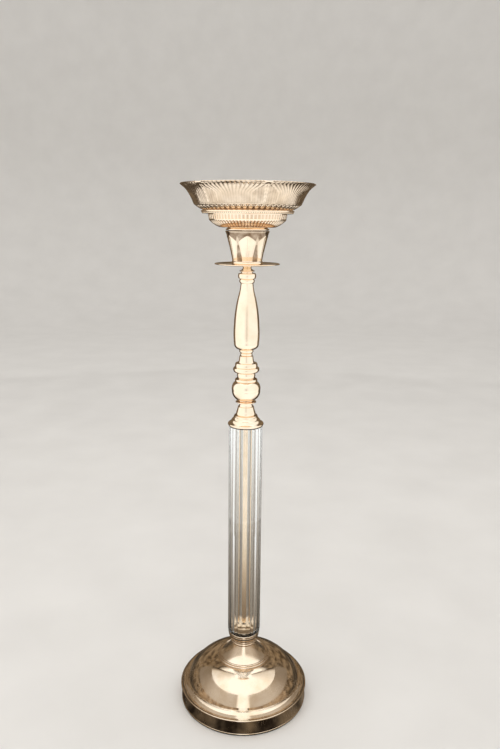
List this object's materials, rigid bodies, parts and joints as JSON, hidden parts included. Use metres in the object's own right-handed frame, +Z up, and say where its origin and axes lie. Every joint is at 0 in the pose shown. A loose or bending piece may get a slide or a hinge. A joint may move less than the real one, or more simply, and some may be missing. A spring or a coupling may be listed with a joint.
{
  "type": "candlestick",
  "caption": "Tall silver-plated candlestick: weighted domed base, reeded glass column, turned stem, drip pan, flared candle cup and a lift-off flared bowl.",
  "frame": {"origin": "centre of the base's underside, on the surface it stands on", "axes": "+Z up along the candlestick's axis, -Y towards the front"},
  "size_m": [0.2048, 0.2048, 0.8151],
  "materials": {
    "silver_base": "mirror-polished warm-toned silver plate, lightly scratched",
    "silver_stem": "mirror-polished silver plate",
    "silver_cup": "polished silver plate",
    "silver_bowl": "polished silver plate, darkened in the pressed pattern",
    "silver_sleeve": "polished tube",
    "clear_glass": "clear pressed glass",
    "gasket_rubber": "matte",
    "bush_rubber": "matte",
    "steel_hardware": "plain turned steel",
    "iron_weight": "rough casting",
    "felt": "short felt"
  },
  "bodies": {
    "stand": {"base_shell": "silver_base", "base_riser": "silver_base", "column_collar": "silver_base", "column_ferrule": "silver_base", "column_cap": "silver_base", "neck_block": "silver_stem", "neck_disc": "silver_stem", "bulb": "silver_stem", "bulb_ring": "silver_stem", "knop_ring": "silver_stem", "stepped_knop": "silver_stem", "baluster_rings": "silver_stem", "baluster": "silver_stem", "baluster_collar": "silver_stem", "stem_block": "silver_stem", "stem_disc": "silver_stem", "pan_neck": "silver_stem", "drip_pan": "silver_stem", "gadroon_ring": "silver_stem", "candle_cup": "silver_cup", "candle_socket": "silver_cup", "rod_sleeve": "silver_sleeve", "glass_column": "clear_glass", "lower_gasket": "gasket_rubber", "upper_gasket": "gasket_rubber", "bottom_plate": "steel_hardware", "clamp_plate": "steel_hardware", "lower_washer": "steel_hardware", "lower_nut": "steel_hardware", "upper_washer": "steel_hardware", "upper_nut": "steel_hardware", "tie_rod": "steel_hardware", "base_weight": "iron_weight", "felt_pad": "felt"},
    "bush": {"peg_bush": "bush_rubber"},
    "bowl": {"bowl_foot": "silver_bowl", "bowl_peg": "silver_bowl", "bowl_lower": "silver_bowl", "bowl_girdle": "silver_bowl", "bowl_band": "silver_bowl", "bowl_upper": "silver_bowl", "bowl_washer": "steel_hardware", "bowl_screw": "steel_hardware"}
  },
  "joints": [
    {"name": "bowl_lift", "type": "slide", "parent": "stand", "child": "bush", "axis": [0, 0, 1], "range_m": [0, 0.06]},
    {"name": "bowl_swivel", "type": "hinge", "parent": "bush", "child": "bowl", "pos_m": [0, 0, 0.74], "axis": [0, 0, 1], "continuous": true}
  ]
}
